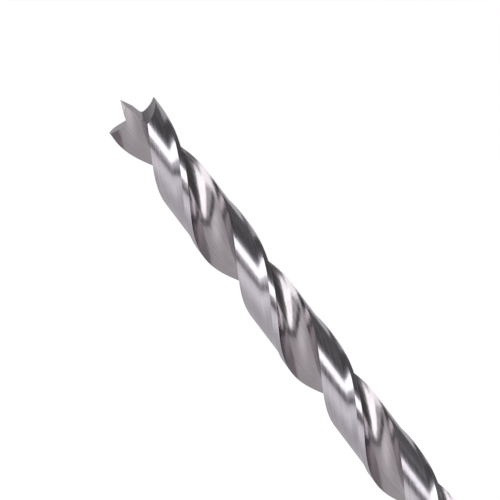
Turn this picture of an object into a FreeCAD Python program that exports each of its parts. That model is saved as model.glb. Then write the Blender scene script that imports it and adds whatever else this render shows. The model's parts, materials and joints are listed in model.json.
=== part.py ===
# Brad point drill bit for wood: one piece of ground steel, in millimetres.
# It stands on the flat end of its shank at z = 0, with its centre point up.
# The lips lie along X, and the right-hand helix climbs anticlockwise seen from above.
import FreeCAD, Part
import math
import os
from FreeCAD import Placement, Rotation, Vector

# Rod and shank
diameter = 6.35
overall_length = 101.6
shank_diameter = 6.25
shank_step_length = 3.0
shank_chamfer = 0.5

# Flutes: round-bottomed, round a core that thickens towards the shank
lip_count = 2
flute_length = 69.85
lead = 34.6
core_thickness = 1.2
core_growth = 0.016
wheel_radius = 20.0

# Lands: a raised margin beside each cutting edge, and a relieved body behind it
land_width = 4.26
land_growth = 0.019
margin_width = 0.76
margin_height = 0.22
neck_length = 1.0

# Point: spurs, lips and notches are ground in one straight pass over each land
spur_turn = 12.4
spur_rise = 0.25
lip_radius = 6.0
notch_fillet = 0.5
relief_angle = 10.0
relief_turn = 17.0

# Centre point: a pyramid with two steep sides, and a facet ground on the front of each lip
point_height = 2.3
point_side_angle = 17.5
facet_angle = 28.0
facet_turn = 44.0

# Cutting shapes only: the twist between two sections, the spans of their curves,
# and how far a cut runs past what it cuts
twist_step = math.radians(15)
flute_spans = 4
relief_spans = 2
past_heel = math.radians(12)
overcut = 1.0

radius = diameter / 2
body_radius = radius - margin_height
shank_radius = shank_diameter / 2
spur_z = overall_length - point_height
flute_end_z = spur_z - flute_length
spur_angle = math.radians(spur_turn)
flute_depth = radius - (core_thickness + core_growth * flute_length) / 2
runout_length = math.sqrt(flute_depth * (2 * wheel_radius - flute_depth))
origin = Vector(0, 0, 0)
up = Vector(0, 0, 1)


def polar(distance, angle, z=0):
    """The point at a distance and an angle about the bit's axis."""
    return Vector(distance * math.cos(angle), distance * math.sin(angle), z)


def copies(shape):
    """The shape once for each lip, evenly spaced about the bit's axis."""
    return [shape.rotated(origin, up, 360 * i / lip_count) for i in range(lip_count)]


def twisted(section):
    """A solid through a section that follows the helix, from below the run-out to past the point."""
    bottom = flute_end_z - overcut
    top = overall_length + overcut
    turns = (top - bottom) / lead
    steps = math.ceil(2 * math.pi * turns / twist_step)
    wires = []
    for i in range(steps + 1):
        z = bottom + (top - bottom) * i / steps
        turn = math.degrees(spur_angle) + 360 * (z - spur_z) / lead
        wires.append(section(spur_z - z).rotated(origin, up, turn).translated(up * z))
    return Part.makeLoft(wires, True, False, False, 5)


def wheel_lift(depth):
    """How far the grinding wheel has lifted out of the flute at a depth below the spurs."""
    past = max(depth - flute_length + runout_length, 0)
    return wheel_radius - math.sqrt(wheel_radius ** 2 - past ** 2)


def land_angle(depth):
    """The angle that a land spans about the axis at a depth below the spurs."""
    return (land_width + land_growth * depth) / radius


def blank():
    """The rod: a chamfered shank, and a fluted length that is a little thicker."""
    rim = shank_radius - shank_chamfer
    step_z = flute_end_z - neck_length
    outline = [
        origin, Vector(rim, 0, 0), Vector(shank_radius, 0, shank_chamfer),
        Vector(shank_radius, 0, step_z - shank_step_length), Vector(radius, 0, step_z),
        Vector(radius, 0, overall_length), Vector(0, 0, overall_length), origin]
    return Part.Face(Part.makePolygon(outline)).revolve(origin, up, 360)


def smooth(points):
    """One smooth edge through evenly spaced points."""
    curve = Part.BSplineCurve()
    spans = len(points) - 1
    curve.interpolate(Points=points, Parameters=[i / spans for i in range(spans + 1)])
    return curve.toShape()


def flute_section(depth):
    """One flute: an arc from cutting edge through the core to the heel, closed outside the rod."""
    heel_angle = 2 * math.pi / lip_count - land_angle(depth)
    middle = heel_angle / 2
    core = (core_thickness + core_growth * depth) / 2
    heel = polar(body_radius, heel_angle)
    circle = Part.Circle(polar(radius, 0), polar(core, middle), heel)
    past = overcut / circle.Radius
    span = (circle.parameter(heel) + 2 * past) / flute_spans
    points = [circle.value(span * i - past) for i in range(flute_spans + 1)]
    far = radius + 2 * overcut
    corners = [polar(far, angle) for angle in (heel_angle, middle, 0)]
    sides = Part.makePolygon([points[-1]] + corners + [points[0]])
    return Part.Wire([smooth(points)] + sides.Edges).translated(polar(wheel_lift(depth), middle))


def relief_section(depth):
    """What is ground off the land behind one margin, past its heel, lifted where the flutes run out."""
    inner = body_radius + wheel_lift(depth)
    outer = inner + margin_height + 2 * overcut
    start = -margin_width / radius
    end = -land_angle(depth) - past_heel
    span = (end - start) / relief_spans
    points = [polar(inner, start + span * i) for i in range(relief_spans + 1)]
    corners = [polar(outer, angle) for angle in (end, (start + end) / 2, start)]
    sides = Part.makePolygon([points[-1]] + corners + [points[0]])
    return Part.Wire([smooth(points)] + sides.Edges)


def flank_cut():
    """What is ground off one land's end: side of the centre point, notch, concave lip and spur."""
    along = polar(1, -math.pi / 2 - math.radians(relief_turn))
    across = up.cross(along)
    fall = math.tan(math.radians(relief_angle))
    slope = math.tan(math.radians(point_side_angle))
    reach = radius + overcut
    top = overall_length + overcut
    corner = polar(radius, spur_angle, spur_z)
    spur = across * corner.dot(across) + up * (spur_z + fall * corner.dot(along))
    notch_z = spur.z - spur_rise
    notch = across * ((overall_length - notch_z) * slope) + up * notch_z
    chord = spur - notch
    drop = along.cross(chord).normalize() * math.sqrt(lip_radius ** 2 - chord.Length ** 2 / 4)
    centre = (notch + spur) / 2 + drop * math.copysign(1, drop.z)
    run = reach - centre.dot(across)
    outside = across * reach + up * (centre.z - math.sqrt(lip_radius ** 2 - run ** 2))
    lowest = centre + ((notch + outside) / 2 - centre).normalize() * lip_radius
    side = Part.makePolygon([outside, across * reach + up * top,
                             up * top - across * (overcut * slope), notch])
    wire = Part.Wire([Part.Arc(notch, lowest, outside).toShape()] + side.Edges)
    stroke = (along - up * fall) * reach
    pass_over = Part.Face(wire.translated(-stroke)).extrude(stroke * 2)
    seam = [edge for edge in pass_over.Edges if edge.distToShape(Part.Vertex(notch))[0] < 1e-6]
    return pass_over.makeFillet(notch_fillet, seam)


def facet_cut():
    """What is ground off the front of the centre point, so that it ends in a sharp tip."""
    size = 2 * (point_height + overcut)
    swing = Rotation(up, 180 + facet_turn) * Rotation(Vector(0, 1, 0), 90 - facet_angle)
    block = Part.makeBox(size, size, size, Vector(-size / 2, -size / 2, 0))
    block.Placement = Placement(up * overall_length, swing)
    reach = point_height * math.tan(math.radians(facet_angle))
    return block.common(Part.makeCylinder(reach, point_height + overcut, up * spur_z))


def drill_bit():
    """The whole bit: a rod with its flutes, its relieved lands and its ground point."""
    body = blank()
    for cutter in (twisted(flute_section), twisted(relief_section), flank_cut(), facet_cut()):
        for copy in copies(cutter):
            body = body.cut(copy)
    return body


os.makedirs("parts", exist_ok=True)
drill_bit().exportStep("parts/drill_bit.step")
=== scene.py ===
import json
import math

import bmesh
import bpy
from mathutils import Matrix, Vector


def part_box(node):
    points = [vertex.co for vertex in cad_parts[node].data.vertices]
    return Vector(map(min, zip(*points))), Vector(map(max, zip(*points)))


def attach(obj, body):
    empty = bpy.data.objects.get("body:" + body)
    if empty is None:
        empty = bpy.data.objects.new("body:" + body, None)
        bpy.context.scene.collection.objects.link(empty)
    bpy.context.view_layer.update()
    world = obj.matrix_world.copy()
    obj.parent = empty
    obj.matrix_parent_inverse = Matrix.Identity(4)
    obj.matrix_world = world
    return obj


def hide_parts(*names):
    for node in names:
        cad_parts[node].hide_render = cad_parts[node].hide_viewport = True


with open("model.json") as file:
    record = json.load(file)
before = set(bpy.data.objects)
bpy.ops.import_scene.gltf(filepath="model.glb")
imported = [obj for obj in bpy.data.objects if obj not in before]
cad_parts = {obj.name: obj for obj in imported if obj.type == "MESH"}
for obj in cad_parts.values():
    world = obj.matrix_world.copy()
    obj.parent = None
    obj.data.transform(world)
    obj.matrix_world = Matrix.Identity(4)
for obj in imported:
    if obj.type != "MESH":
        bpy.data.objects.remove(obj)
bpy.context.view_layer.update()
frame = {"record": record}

# THE ROD
# The bit is turned and ground from one steel rod, so it is one piece from shank to point.
# Its flutes and lands are drawn as one outline, which turns with the helix as it climbs.
mm = 0.001
low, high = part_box("drill_bit")
shank_mount = frame["record"]["mounts"][0]["dims"]

overall_length = high.z
radius = (high.x - low.x) / 2
shank_radius = shank_mount["r_mm"] * mm
shank_chamfer = 0.5 * mm
shank_length = shank_mount["length_mm"] * mm + shank_chamfer
point_height = 2.3 * mm
spur_z = overall_length - point_height
spur_turn = math.radians(12.4)

lead = 34.6 * mm
flute_length = 69.85 * mm
flute_end_z = spur_z - flute_length
neck_length = 1.0 * mm
core_thickness = 1.2 * mm
core_growth = 0.016
wheel_radius = 20.0 * mm
flute_depth = radius - (core_thickness + core_growth * flute_length) / 2
runout_length = math.sqrt(flute_depth * (2 * wheel_radius - flute_depth))

land_width = 4.26 * mm
land_growth = 0.019
margin_width = 0.76 * mm
margin_height = 0.22 * mm
dish_width = 1.05 * mm
body_radius = radius - margin_height

flute_rails = 28
land_rails = 20
dish_rails = 8
margin_rails = 6
level_step = 0.3 * mm
merge_gap = 0.0005 * mm


def polar(distance, angle, z=0.0):
    """The point at a distance and an angle about the bit's axis."""
    return Vector((distance * math.cos(angle), distance * math.sin(angle), z))


def circle_centre(a, b, c):
    """The centre of the circle through three points of one level."""
    across, along = b - a, c - a
    twice_area = 2 * (across.x * along.y - across.y * along.x)
    x = (along.y * across.length_squared - across.y * along.length_squared) / twice_area
    y = (across.x * along.length_squared - along.x * across.length_squared) / twice_area
    return a + Vector((x, y, 0))


def meeting_angle(centre, reach, distance):
    """Half the angle, seen from the axis, between the two places where the flute meets a radius."""
    share = (centre.length_squared + distance ** 2 - reach ** 2) / (2 * centre.length * distance)
    return math.acos(max(-1.0, min(1.0, share)))


def half_outline(depth):
    """One flute and the land after it, as points round half a turn, at a depth below the spurs."""
    past = max(depth - flute_length + runout_length, 0.0)
    lift = wheel_radius - math.sqrt(max(wheel_radius ** 2 - past ** 2, 0.0))
    land_radius = min(body_radius + lift, radius)
    heel_angle = math.pi - (land_width + land_growth * depth) / radius
    middle = heel_angle / 2
    bottom = polar((core_thickness + core_growth * depth) / 2, middle)
    centre = circle_centre(polar(radius, 0), bottom, polar(body_radius, heel_angle))
    reach = (centre - bottom).length
    centre = centre + polar(lift, middle)
    facing = math.atan2(centre.y, centre.x)
    edge = facing - meeting_angle(centre, reach, radius)
    heel = facing + meeting_angle(centre, reach, land_radius)
    start = polar(radius, edge) - centre
    end = polar(land_radius, heel) - centre
    swing = (math.atan2(start.y, start.x) - math.atan2(end.y, end.x)) % (2 * math.pi)
    # Where the flute has run out, its edge and its heel are one place.
    if edge == facing:
        swing = 0.0
    points = []
    for i in range(flute_rails):
        points.append(centre + Matrix.Rotation(-swing * i / flute_rails, 3, "Z") @ start)
    # The land follows: its body, a shallow hollow that rises to the margin, and the margin.
    corner = math.pi + edge - margin_width / radius
    dish = max(corner - dish_width / radius, heel)
    for i in range(land_rails):
        points.append(polar(land_radius, heel + (dish - heel) * i / land_rails))
    for i in range(dish_rails):
        share = i / dish_rails
        rise = (radius - land_radius) * share ** 2
        points.append(polar(land_radius + rise, dish + (corner - dish) * share))
    for i in range(margin_rails):
        points.append(polar(radius, corner + (math.pi + edge - corner) * i / margin_rails))
    return points


def level_outline(z):
    """All round the bit at one height: two halves of the fluted outline, turned with the helix."""
    half = half_outline(spur_z - z)
    turn = spur_turn + 2 * math.pi * (z - spur_z) / lead
    halves = [Matrix.Rotation(turn + math.pi * i, 3, "Z") for i in range(2)]
    return [spin @ point + Vector((0, 0, z)) for spin in halves for point in half]


def round_outline(z, size):
    """A round level below the flutes, with its points under those of the fluted outline."""
    base = level_outline(flute_end_z)
    return [Vector((p.x, p.y, 0)).normalized() * size + Vector((0, 0, z)) for p in base]


level_count = math.ceil((overall_length - flute_end_z) / level_step)
level_gap = (overall_length - flute_end_z) / level_count
levels = [round_outline(0, shank_radius - shank_chamfer), round_outline(shank_chamfer, shank_radius),
          round_outline(shank_length, shank_radius), round_outline(flute_end_z - neck_length, radius)]
round_levels = len(levels)
levels += [level_outline(flute_end_z + level_gap * i) for i in range(level_count + 1)]
rails = len(levels[0])

finishes = ["flute", "land", "margin", "shank", "point"]
half_rails = rails // 2


def rail_finish(rail, level):
    """Which finish the strip of steel beside a rail has, at a level."""
    if level < round_levels:
        return "shank"
    place = rail % half_rails
    if place < flute_rails:
        return "flute"
    return "land" if place < flute_rails + land_rails + dish_rails else "margin"


# A grid of one unit, with a column for each rail and a row for each level, is wrapped round the bit.
shape = bmesh.new()
bmesh.ops.create_grid(shape, x_segments=rails, y_segments=len(levels) - 1, size=0.5)
wrap = shape.loops.layers.uv.new("helix")
for face in shape.faces:
    middle = face.calc_center_median() + Vector((0.5, 0.5, 0))
    rail, level = int(middle.x * rails), int(middle.y * (len(levels) - 1))
    face.material_index = finishes.index(rail_finish(rail, level))
    for loop in face.loops:
        side = round((loop.vert.co.x + 0.5) * rails)
        height = round((loop.vert.co.y + 0.5) * (len(levels) - 1))
        loop[wrap].uv = (side / half_rails, levels[height][0].z / lead)
for vert in shape.verts:
    side = round((vert.co.x + 0.5) * rails) % rails
    height = round((vert.co.y + 0.5) * (len(levels) - 1))
    vert.co = levels[height][side]
bmesh.ops.remove_doubles(shape, verts=shape.verts, dist=merge_gap)
for edge in shape.edges:
    edge.smooth = True
rims = [edge for edge in shape.edges if edge.is_boundary]
ends = bmesh.ops.holes_fill(shape, edges=rims, sides=0)["faces"]
bmesh.ops.recalc_face_normals(shape, faces=shape.faces)
for face in ends:
    face.material_index = finishes.index("shank")

rod_mesh = bpy.data.meshes.new("ground_steel_bit")
shape.to_mesh(rod_mesh)
shape.free()
bit = bpy.data.objects.new("ground_steel_bit", rod_mesh)
bpy.context.scene.collection.objects.link(bit)

# THE GROUND POINT
# One straight pass of a shaped wheel over each land grinds the side of the centre point, the notch,
# the concave lip and the spur. A second, small facet on each front sharpens the centre point.
relief_turn = math.radians(17.0)
relief_angle = math.radians(10.0)
point_side_angle = math.radians(17.5)
spur_rise = 0.25 * mm
lip_radius = 6.0 * mm
notch_round = 0.37 * mm
lip_start = 1.2 * notch_round
facet_angle = math.radians(28.0)
facet_turn = math.radians(44.0)
lip_steps = 16
notch_steps = 8
facet_steps = 64
overcut = 1.0 * mm


def ground_pass():
    """The outline of what the shaped wheel takes off one land, and half of its straight stroke."""
    along = polar(1, -math.pi / 2 - relief_turn)
    up = Vector((0, 0, 1))
    across = up.cross(along)
    fall = math.tan(relief_angle)
    slope = math.tan(point_side_angle)
    reach = radius + overcut
    top = overall_length + overcut
    corner = polar(radius, spur_turn, spur_z)
    spur = across * corner.dot(across) + up * (spur_z + fall * corner.dot(along))
    notch_z = spur.z - spur_rise
    notch = across * ((overall_length - notch_z) * slope) + up * notch_z
    chord = spur - notch
    sag = math.sqrt(lip_radius ** 2 - chord.length_squared / 4)
    lift = chord.cross(along).normalized() * sag
    centre = (notch + spur) / 2 + (lift if lift.z > 0 else -lift)
    run = reach - centre.dot(across)
    outside = across * reach + up * (centre.z - math.sqrt(lip_radius ** 2 - run ** 2))
    first, last = notch - centre, outside - centre
    sweep = first.angle(last)
    axle = first.cross(last).normalized()
    turns = [Matrix.Rotation(sweep * i / lip_steps, 3, axle) for i in range(1, lip_steps + 1)]
    lip = [centre + turn @ first for turn in turns]
    side_top = up * top - across * (overcut * slope)
    from_side = notch + (side_top - notch).normalized() * notch_round
    to_lip = centre + Matrix.Rotation(notch_round / lip_radius, 3, axle) @ first
    rounded = []
    for i in range(notch_steps + 1):
        share = i / notch_steps
        rest = 1 - share
        rounded.append(from_side * rest ** 2 + notch * (2 * share * rest) + to_lip * share ** 2)
    lip = [p for p in lip if (p - notch).length > lip_start]
    outline = [side_top] + rounded + lip + [across * reach + up * top]
    return outline, (along - up * fall) * reach


def cutter(name, work):
    """A cutting solid as an object, with the point's finish on every face."""
    for face in work.faces:
        face.material_index = finishes.index("point")
        face.smooth = True
    bmesh.ops.recalc_face_normals(work, faces=work.faces)
    mesh = bpy.data.meshes.new(name)
    work.to_mesh(mesh)
    work.free()
    made = bpy.data.objects.new(name, mesh)
    bpy.context.scene.collection.objects.link(made)
    return made


def flank_cutter(turn):
    """The swept pass over one land."""
    outline, stroke = ground_pass()
    work = bmesh.new()
    face = work.faces.new([work.verts.new(p - stroke) for p in outline])
    swept = bmesh.ops.extrude_face_region(work, geom=[face])
    moved = [item for item in swept["geom"] if isinstance(item, bmesh.types.BMVert)]
    bmesh.ops.translate(work, verts=moved, vec=stroke * 2)
    bmesh.ops.rotate(work, verts=work.verts, matrix=Matrix.Rotation(turn, 3, "Z"))
    return cutter("flank_wheel", work)


def facet_cutter(turn):
    """The half space in front of the centre point's tip, kept clear of the lips."""
    reach = point_height * math.tan(facet_angle)
    height = point_height + overcut
    work = bmesh.new()
    bmesh.ops.create_cone(work, cap_ends=True, segments=facet_steps,
                          radius1=reach, radius2=reach, depth=height)
    bmesh.ops.translate(work, verts=work.verts, vec=(0, 0, spur_z + height / 2))
    outward = polar(math.cos(facet_angle), facet_turn + math.pi, math.sin(facet_angle))
    cut = bmesh.ops.bisect_plane(work, geom=work.verts[:] + work.edges[:] + work.faces[:],
                                 plane_co=(0, 0, overall_length), plane_no=outward, clear_inner=True)
    rim = [item for item in cut["geom_cut"] if isinstance(item, bmesh.types.BMEdge)]
    bmesh.ops.contextual_create(work, geom=rim)
    bmesh.ops.rotate(work, verts=work.verts, matrix=Matrix.Rotation(turn, 3, "Z"))
    return cutter("facet_wheel", work)


for finish in finishes:
    bit.data.materials.append(bpy.data.materials.new(finish + "_steel"))
for make_cutter in (flank_cutter, facet_cutter):
    for turn in (0.0, math.pi):
        wheel = make_cutter(turn)
        cut = bit.modifiers.new("grinding", "BOOLEAN")
        cut.operation = "DIFFERENCE"
        cut.solver = "EXACT"
        cut.material_mode = "INDEX"
        cut.object = wheel
        bpy.context.view_layer.update()
        finished = bit.evaluated_get(bpy.context.evaluated_depsgraph_get())
        ground = bpy.data.meshes.new_from_object(finished)
        bit.modifiers.remove(cut)
        bit.data = ground
        bpy.data.objects.remove(wheel)
bit.data.name = "ground_steel_bit"

# The ground edges stay crisp, and everything between them is shaded smooth.
sharp_angle = math.radians(18.0)
shape = bmesh.new()
shape.from_mesh(bit.data)
bmesh.ops.remove_doubles(shape, verts=shape.verts, dist=merge_gap)
for face in shape.faces:
    face.smooth = True
for edge in shape.edges:
    edge.smooth = len(edge.link_faces) == 2 and edge.calc_face_angle(0.0) < sharp_angle
shape.to_mesh(bit.data)
shape.free()

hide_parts("drill_bit")
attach(bit, "root")


# THE STEEL'S FINISHES
# Every face is bare hardened steel, left as its grinding wheel left it. The fine lines follow the
# helix in the flutes and on the lands, run up the ground faces of the point, and run round the shank.
class Wire:
    """A value in a material, so that its maths reads as plain arithmetic."""

    def __init__(self, shader, socket):
        self.shader = shader
        self.socket = socket

    def maths(self, operation, first, second=0.0):
        return self.shader.node("ShaderNodeMath", {0: first, 1: second}, operation=operation)

    def __add__(self, other):
        return self.maths("ADD", self, other)

    def __sub__(self, other):
        return self.maths("SUBTRACT", self, other)

    def __rsub__(self, other):
        return self.maths("SUBTRACT", other, self)

    def __mul__(self, other):
        return self.maths("MULTIPLY", self, other)

    def __pow__(self, other):
        return self.maths("POWER", self, other)

    def __rpow__(self, other):
        return self.maths("POWER", other, self)

    def above(self, other):
        return self.maths("MAXIMUM", self, other)

    __radd__ = __add__
    __rmul__ = __mul__


class Shader:
    """A material or a surround, whose nodes all come from one method."""

    def __init__(self, holder, kind="Principled BSDF"):
        holder.use_nodes = True
        self.tree = holder.node_tree
        self.shader = self.tree.nodes[kind]

    def node(self, kind, values=(), output=0, **settings):
        made = self.tree.nodes.new(kind)
        for name, setting in settings.items():
            setattr(made, name, setting)
        for place, value in dict(values).items():
            self.put(made.inputs[place], value)
        return Wire(self, made.outputs[output])

    def put(self, place, value):
        if isinstance(value, Wire):
            self.tree.links.new(value.socket, place)
        else:
            place.default_value = value

    def set(self, **values):
        for name, value in values.items():
            self.put(self.shader.inputs[name.replace("_", " ")], value)


cloud_scale = 0.5 / mm
line_share, cloud_share = 0.6, 0.4
dull_below, bright_above = 0.35, 0.65
noise_middle = 0.5
gloss_change = 0.3
wave_depth = 0.018 * mm


def ground_finish(finish, dull, bright, roughness, lines_across, lines_along, depth):
    """A ground steel face: grinding lines in its colour, gloss and relief, and a slight waviness."""
    steel = Shader(bit.data.materials[finishes.index(finish)])
    place = steel.node("ShaderNodeTexCoord", output="Object")
    # The lines follow the helix, but run up the point and round the shank.
    if finish in ("shank", "point"):
        run = place
        stretch = (lines_across / mm, lines_across / mm, lines_along / mm)
    else:
        run = steel.node("ShaderNodeUVMap", uv_map="helix")
        stretch = (lines_across, lines_along, 1.0)
    lines = steel.node("ShaderNodeMapping", {"Vector": run, "Scale": stretch})
    fine = steel.node("ShaderNodeTexNoise", {"Vector": lines, "Scale": 1.0, "Detail": 4.0}, output="Fac")
    cloud = {"Vector": place, "Scale": cloud_scale, "Detail": 3.0}
    cloudy = steel.node("ShaderNodeTexNoise", cloud, output="Fac")
    spread = {"Value": fine * line_share + cloudy * cloud_share,
              "From Min": dull_below, "From Max": bright_above}
    shade = steel.node("ShaderNodeMapRange", spread)
    # A colour mix has its two colours in sockets 6 and 7, and gives its colour from output 2.
    tone = steel.node("ShaderNodeMix", {"Factor": shade, 6: dull, 7: bright}, output=2, data_type="RGBA")
    wavy = steel.node("ShaderNodeBump", {"Height": cloudy, "Strength": 1.0, "Distance": wave_depth})
    scratch = {"Height": fine, "Strength": 1.0, "Distance": depth, "Normal": wavy}
    relief = steel.node("ShaderNodeBump", scratch)
    gloss = roughness + gloss_change * (fine - noise_middle)
    steel.set(Base_Color=tone, Metallic=1.0, Roughness=gloss, Normal=relief)


ground_finish("flute", dull=(0.455, 0.422, 0.443, 1), bright=(0.55, 0.51, 0.535, 1),
              roughness=0.18, lines_across=60.0, lines_along=1.2, depth=0.0015 * mm)
ground_finish("land", dull=(0.54, 0.515, 0.56, 1), bright=(0.67, 0.64, 0.69, 1),
              roughness=0.22, lines_across=36.0, lines_along=1.6, depth=0.001 * mm)
ground_finish("margin", dull=(0.56, 0.535, 0.58, 1), bright=(0.67, 0.64, 0.69, 1),
              roughness=0.2, lines_across=36.0, lines_along=1.6, depth=0.0005 * mm)
ground_finish("shank", dull=(0.56, 0.54, 0.57, 1), bright=(0.64, 0.62, 0.65, 1),
              roughness=0.22, lines_across=0.3, lines_along=12.0, depth=0.0008 * mm)
ground_finish("point", dull=(0.42, 0.40, 0.425, 1), bright=(0.52, 0.50, 0.525, 1),
              roughness=0.32, lines_across=6.0, lines_along=0.8, depth=0.002 * mm)

# THE STUDIO
# A pale floor and a pale surround, with softboxes in front of the bit. Dark flags hang nearer to it,
# because bright ground steel shows its form only where it has something dark to reflect.
bit_middle = Vector((0, 0, 70 * mm))
flag_distance = 500 * mm
lamp_distance = 700 * mm


def toward(azimuth, elevation, distance):
    """A place seen from the bit's fluted length. Azimuth 0 is the front, and 90 the right side."""
    turn, tilt = math.radians(azimuth), math.radians(elevation)
    way = Vector((math.cos(tilt) * math.sin(turn), -math.cos(tilt) * math.cos(turn), math.sin(tilt)))
    return bit_middle + way * distance


def hang(start, end, width, distance):
    """Where a flat card hangs between two directions, as wide as an angle, and its two lengths."""
    first, last = toward(*start, distance), toward(*end, distance)
    middle = (first + last) / 2
    along = (last - first).normalized()
    side = (middle - bit_middle).cross(along).normalized()
    turn = Matrix((along, side, along.cross(side))).transposed().to_4x4()
    breadth = 2 * (middle - bit_middle).length * math.tan(math.radians(width / 2))
    return Matrix.Translation(middle) @ turn, (last - first).length, breadth


def card(name, place, length, breadth):
    """A flat rectangle for the studio, which isn't part of the bit."""
    work = bmesh.new()
    bmesh.ops.create_grid(work, x_segments=1, y_segments=1, size=0.5)
    bmesh.ops.scale(work, verts=work.verts, vec=(length, breadth, 1))
    bmesh.ops.transform(work, matrix=place, verts=work.verts)
    mesh = bpy.data.meshes.new(name)
    work.to_mesh(mesh)
    work.free()
    made = bpy.data.objects.new(name, mesh)
    bpy.context.scene.collection.objects.link(made)
    mesh.materials.append(bpy.data.materials.new(name))
    return made


def flag(name, start, end, width, grey):
    """A matt dark card that only the steel sees."""
    made = card(name, *hang(start, end, width, flag_distance))
    made.visible_camera = False
    made.visible_diffuse = False
    Shader(made.data.materials[0]).set(Base_Color=(0, 0, 0, 1), Specular_IOR_Level=0.0,
                                       Emission_Color=(grey, grey, grey, 1), Emission_Strength=1.0)


def softbox(name, start, end, width, radiance):
    """A soft rectangular lamp of even brightness, which faces the bit."""
    light = bpy.data.lights.new(name, "AREA")
    light.shape = "RECTANGLE"
    place, light.size, light.size_y = hang(start, end, width, lamp_distance)
    light.energy = radiance * light.size * light.size_y * math.pi
    lamp = bpy.data.objects.new(name, light)
    bpy.context.scene.collection.objects.link(lamp)
    lamp.matrix_world = place
    lamp.visible_camera = False


# Each flag and lamp runs from one direction to another, and its width is an angle, all in degrees.
flag("right_flag", (70, -29), (54, 32), 40, 0.08)
flag("right_flag_edge", (48, -29), (39, 28), 12, 0.24)
flag("far_right_flag", (80, -17), (134, -19), 24, 0.11)
flag("top_strip", (2, 45), (44, 24), 13, 0.14)
flag("left_strip", (-40, 23), (-12, -12), 13, 0.12)
flag("left_strip_end", (-12, -12), (-4, -27), 12, 0.19)
flag("lower_strip", (-6, -22), (40, -37), 10, 0.12)
flag("right_strip", (38, -37), (140, -34), 9, 0.13)
flag("back_flag", (-145, 38), (150, 38), 20, 0.08)
softbox("front_softbox", (13, 27), (23, -10), 33, 1.55)
softbox("lower_softbox", (21, -9), (27, -29), 23, 1.55)
softbox("upper_softbox", (-70, 30), (8, 30), 22, 1.35)
softbox("left_softbox", (-125, 20), (-88, 25), 13, 1.2)

# The steel doesn't reflect the floor, so that it shows the flags that hang below the floor's level.
floor_size = 4000 * mm
floor_glow = 0.5
floor = card("floor", Matrix.Identity(4), floor_size, floor_size)
floor.visible_glossy = False
Shader(floor.data.materials[0]).set(Base_Color=(0.8, 0.8, 0.8, 1), Roughness=0.8,
                                    Emission_Color=(1, 1, 1, 1), Emission_Strength=floor_glow)

# The surround is even, but for a soft glow low on the left.
even_strength = 0.57
glow_strength = 0.4
glow_tightness = 8.0
glow_way = tuple(toward(-38, -12, 1.0) - bit_middle)
world = bpy.data.worlds.new("pale_surround")
bpy.context.scene.world = world
surround = Shader(world, "Background")
way = surround.node("ShaderNodeTexCoord", output="Generated")
facing = surround.node("ShaderNodeVectorMath", {0: way, 1: glow_way}, "Value", operation="DOT_PRODUCT")
glow = glow_strength * facing.above(0.0) ** glow_tightness
surround.set(Color=(1, 0.985, 0.995, 1), Strength=even_strength + glow)

# THE CAMERA
# It stands where the photograph was taken: in front of the bit, a little above it, and rolled so
# that the bit runs across the frame from corner to corner.
camera_elevation = math.radians(20.19)
camera_distance = 562.0 * mm
roll_across, roll_along = 0.603, 0.798
slide_right, slide_up = 13.03 * mm, -14.86 * mm
back = Vector((0, -math.cos(camera_elevation), math.sin(camera_elevation)))
tip_to_shank = Vector((0, -math.sin(camera_elevation), -math.cos(camera_elevation)))
right = (tip_to_shank * roll_across + Vector((1, 0, 0)) * roll_along).normalized()
up = back.cross(right)
view = bpy.data.cameras.new("photo_view")
view.lens = 366.2
view.sensor_width = 36.0
camera = bpy.data.objects.new("photo_view", view)
bpy.context.scene.collection.objects.link(camera)
spot = Vector((0, 0, spur_z)) + back * camera_distance + right * slide_right + up * slide_up
camera.matrix_world = Matrix.Translation(spot) @ Matrix((right, up, back)).transposed().to_4x4()
bpy.context.scene.camera = camera
bpy.context.scene.view_settings.view_transform = "Standard"
